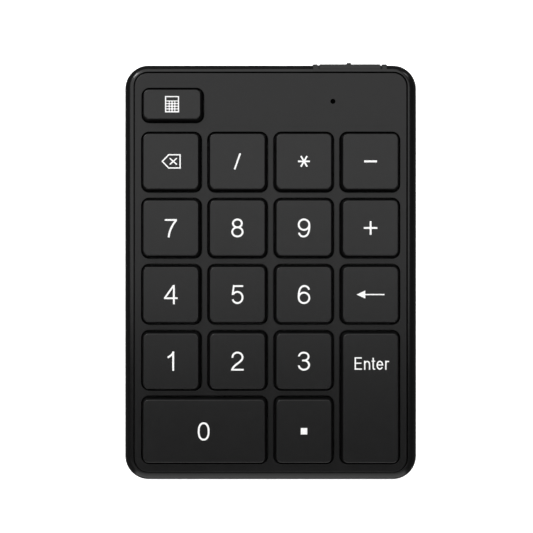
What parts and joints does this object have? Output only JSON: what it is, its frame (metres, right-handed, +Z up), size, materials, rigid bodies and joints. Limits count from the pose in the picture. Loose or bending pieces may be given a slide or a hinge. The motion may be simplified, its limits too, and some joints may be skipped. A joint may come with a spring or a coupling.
{
  "type": "numeric keypad",
  "caption": "Wireless numeric keypad for a desk: wedge-shaped case, flush deck with framed keys on sprung plungers, rear slide switch, battery under a hinged door.",
  "frame": {"origin": "centre of the footprint at table level, under the rubber feet", "axes": "+Z up, +Y towards the rear edge with the power switch, +X to the right as the user looks at the keys"},
  "size_m": [0.0844, 0.1208, 0.0189],
  "materials": {
    "case_plastic": "fine spark-eroded texture, satin black",
    "cover_plastic": "fine matte black",
    "key_plastic": "fine matte black with printed white legends",
    "guide_plastic": "moulded, dark",
    "silicone": "translucent milky silicone",
    "film": "clear polyester film with printed traces",
    "plate_steel": "zinc-plated sheet",
    "spring_steel": "drawn wire",
    "screw_steel": "nickel-plated",
    "door_plastic": "fine texture, satin black",
    "cell_sleeve": "printed sleeve with bare metal ends",
    "contact_metal": "nickel-plated strip",
    "board_laminate": "green solder mask",
    "chip_epoxy": "moulded epoxy",
    "crystal_can": "pressed can",
    "led_body": "clear epoxy",
    "light_pipe_plastic": "smoked clear plastic",
    "connector_plastic": "cream moulded",
    "switch_shell": "pressed shell",
    "lever_plastic": "moulded black",
    "bezel_plastic": "smooth black",
    "slider_plastic": "satin black, ridged",
    "foot_rubber": "matte black",
    "legend_ink": "white print"
  },
  "bodies": {
    "chassis": {"battery_cell": "cell_sleeve", "battery_contact_leaf": "contact_metal", "battery_contact_plate": "contact_metal", "board_screws": "screw_steel", "bottom_case": "case_plastic", "case_screws": "screw_steel", "circuit_board": "board_laminate", "crystal": "crystal_can", "dome_sheet": "silicone", "film_connector": "connector_plastic", "foot_front_left": "foot_rubber", "foot_front_right": "foot_rubber", "foot_rear_left": "foot_rubber", "foot_rear_right": "foot_rubber", "key_guide_plate": "guide_plastic", "light_pipe": "light_pipe_plastic", "membrane_lower": "film", "membrane_spacer": "film", "membrane_upper": "film", "radio_chip": "chip_epoxy", "slide_switch_body": "switch_shell", "status_led": "led_body", "support_plate": "plate_steel", "switch_bezel": "bezel_plastic", "top_cover": "cover_plastic"},
    "key_0": {"key_0": "key_plastic"},
    "key_1": {"key_1": "key_plastic"},
    "key_2": {"key_2": "key_plastic"},
    "key_3": {"key_3": "key_plastic"},
    "key_4": {"key_4": "key_plastic"},
    "key_5": {"key_5": "key_plastic"},
    "key_6": {"key_6": "key_plastic"},
    "key_7": {"key_7": "key_plastic"},
    "key_8": {"key_8": "key_plastic"},
    "key_9": {"key_9": "key_plastic"},
    "key_arrow": {"key_arrow": "key_plastic"},
    "key_backspace": {"key_backspace": "key_plastic"},
    "key_calculator": {"key_calculator": "key_plastic"},
    "key_decimal": {"key_decimal": "key_plastic"},
    "key_divide": {"key_divide": "key_plastic"},
    "key_enter": {"key_enter": "key_plastic"},
    "key_minus": {"key_minus": "key_plastic"},
    "key_multiply": {"key_multiply": "key_plastic"},
    "key_plus": {"key_plus": "key_plastic"},
    "enter_wire": {"stabilizer_enter": "spring_steel"},
    "zero_wire": {"stabilizer_zero": "spring_steel"},
    "battery_hatch": {"battery_door": "door_plastic"},
    "power_switch": {"power_slider": "slider_plastic", "slide_switch_lever": "lever_plastic"}
  },
  "joints": [
    {"name": "key_0_press", "type": "slide", "parent": "chassis", "child": "key_0", "axis": [0, 0.0785, -0.9969], "range_m": [0, 0.002], "stiffness_N_per_m": 275, "springref_m": -0.0008, "deforming": ["dome_sheet"]},
    {"name": "key_1_press", "type": "slide", "parent": "chassis", "child": "key_1", "axis": [0, 0.0785, -0.9969], "range_m": [0, 0.002], "stiffness_N_per_m": 275, "springref_m": -0.0008, "deforming": ["dome_sheet"]},
    {"name": "key_2_press", "type": "slide", "parent": "chassis", "child": "key_2", "axis": [0, 0.0785, -0.9969], "range_m": [0, 0.002], "stiffness_N_per_m": 275, "springref_m": -0.0008, "deforming": ["dome_sheet"]},
    {"name": "key_3_press", "type": "slide", "parent": "chassis", "child": "key_3", "axis": [0, 0.0785, -0.9969], "range_m": [0, 0.002], "stiffness_N_per_m": 275, "springref_m": -0.0008, "deforming": ["dome_sheet"]},
    {"name": "key_4_press", "type": "slide", "parent": "chassis", "child": "key_4", "axis": [0, 0.0785, -0.9969], "range_m": [0, 0.002], "stiffness_N_per_m": 275, "springref_m": -0.0008, "deforming": ["dome_sheet"]},
    {"name": "key_5_press", "type": "slide", "parent": "chassis", "child": "key_5", "axis": [0, 0.0785, -0.9969], "range_m": [0, 0.002], "stiffness_N_per_m": 275, "springref_m": -0.0008, "deforming": ["dome_sheet"]},
    {"name": "key_6_press", "type": "slide", "parent": "chassis", "child": "key_6", "axis": [0, 0.0785, -0.9969], "range_m": [0, 0.002], "stiffness_N_per_m": 275, "springref_m": -0.0008, "deforming": ["dome_sheet"]},
    {"name": "key_7_press", "type": "slide", "parent": "chassis", "child": "key_7", "axis": [0, 0.0785, -0.9969], "range_m": [0, 0.002], "stiffness_N_per_m": 275, "springref_m": -0.0008, "deforming": ["dome_sheet"]},
    {"name": "key_8_press", "type": "slide", "parent": "chassis", "child": "key_8", "axis": [0, 0.0785, -0.9969], "range_m": [0, 0.002], "stiffness_N_per_m": 275, "springref_m": -0.0008, "deforming": ["dome_sheet"]},
    {"name": "key_9_press", "type": "slide", "parent": "chassis", "child": "key_9", "axis": [0, 0.0785, -0.9969], "range_m": [0, 0.002], "stiffness_N_per_m": 275, "springref_m": -0.0008, "deforming": ["dome_sheet"]},
    {"name": "key_arrow_press", "type": "slide", "parent": "chassis", "child": "key_arrow", "axis": [0, 0.0785, -0.9969], "range_m": [0, 0.002], "stiffness_N_per_m": 275, "springref_m": -0.0008, "deforming": ["dome_sheet"]},
    {"name": "key_backspace_press", "type": "slide", "parent": "chassis", "child": "key_backspace", "axis": [0, 0.0785, -0.9969], "range_m": [0, 0.002], "stiffness_N_per_m": 275, "springref_m": -0.0008, "deforming": ["dome_sheet"]},
    {"name": "key_calculator_press", "type": "slide", "parent": "chassis", "child": "key_calculator", "axis": [0, 0.0785, -0.9969], "range_m": [0, 0.002], "stiffness_N_per_m": 275, "springref_m": -0.0008, "deforming": ["dome_sheet"]},
    {"name": "key_decimal_press", "type": "slide", "parent": "chassis", "child": "key_decimal", "axis": [0, 0.0785, -0.9969], "range_m": [0, 0.002], "stiffness_N_per_m": 275, "springref_m": -0.0008, "deforming": ["dome_sheet"]},
    {"name": "key_divide_press", "type": "slide", "parent": "chassis", "child": "key_divide", "axis": [0, 0.0785, -0.9969], "range_m": [0, 0.002], "stiffness_N_per_m": 275, "springref_m": -0.0008, "deforming": ["dome_sheet"]},
    {"name": "key_enter_press", "type": "slide", "parent": "chassis", "child": "key_enter", "axis": [0, 0.0785, -0.9969], "range_m": [0, 0.002], "stiffness_N_per_m": 275, "springref_m": -0.0008, "deforming": ["dome_sheet"]},
    {"name": "key_minus_press", "type": "slide", "parent": "chassis", "child": "key_minus", "axis": [0, 0.0785, -0.9969], "range_m": [0, 0.002], "stiffness_N_per_m": 275, "springref_m": -0.0008, "deforming": ["dome_sheet"]},
    {"name": "key_multiply_press", "type": "slide", "parent": "chassis", "child": "key_multiply", "axis": [0, 0.0785, -0.9969], "range_m": [0, 0.002], "stiffness_N_per_m": 275, "springref_m": -0.0008, "deforming": ["dome_sheet"]},
    {"name": "key_plus_press", "type": "slide", "parent": "chassis", "child": "key_plus", "axis": [0, 0.0785, -0.9969], "range_m": [0, 0.002], "stiffness_N_per_m": 275, "springref_m": -0.0008, "deforming": ["dome_sheet"]},
    {"name": "zero_wire_turn", "type": "hinge", "parent": "chassis", "child": "zero_wire", "pos_m": [-0.019, -0.04546, 0.00718], "axis": [1, 0, 0], "range_deg": [0, 18.54]},
    {"name": "enter_wire_turn", "type": "hinge", "parent": "chassis", "child": "enter_wire", "pos_m": [0.0289, -0.03648, 0.00789], "axis": [0, -0.9969, -0.0785], "range_deg": [0, 18.54]},
    {"name": "battery_door_open", "type": "hinge", "parent": "chassis", "child": "battery_hatch", "pos_m": [0.0116, 0.04176, 0.00135], "axis": [-1, 0, 0], "range_deg": [0, 75]},
    {"name": "power_switch_slide", "type": "slide", "parent": "chassis", "child": "power_switch", "axis": [1, 0, 0], "range_m": [-0.0018, 0.0018]}
  ],
  "couplings": [
    {"joint": "zero_wire_turn", "follows": "key_0_press", "rad_per_m": 161.69},
    {"joint": "enter_wire_turn", "follows": "key_enter_press", "rad_per_m": 161.69}
  ]
}
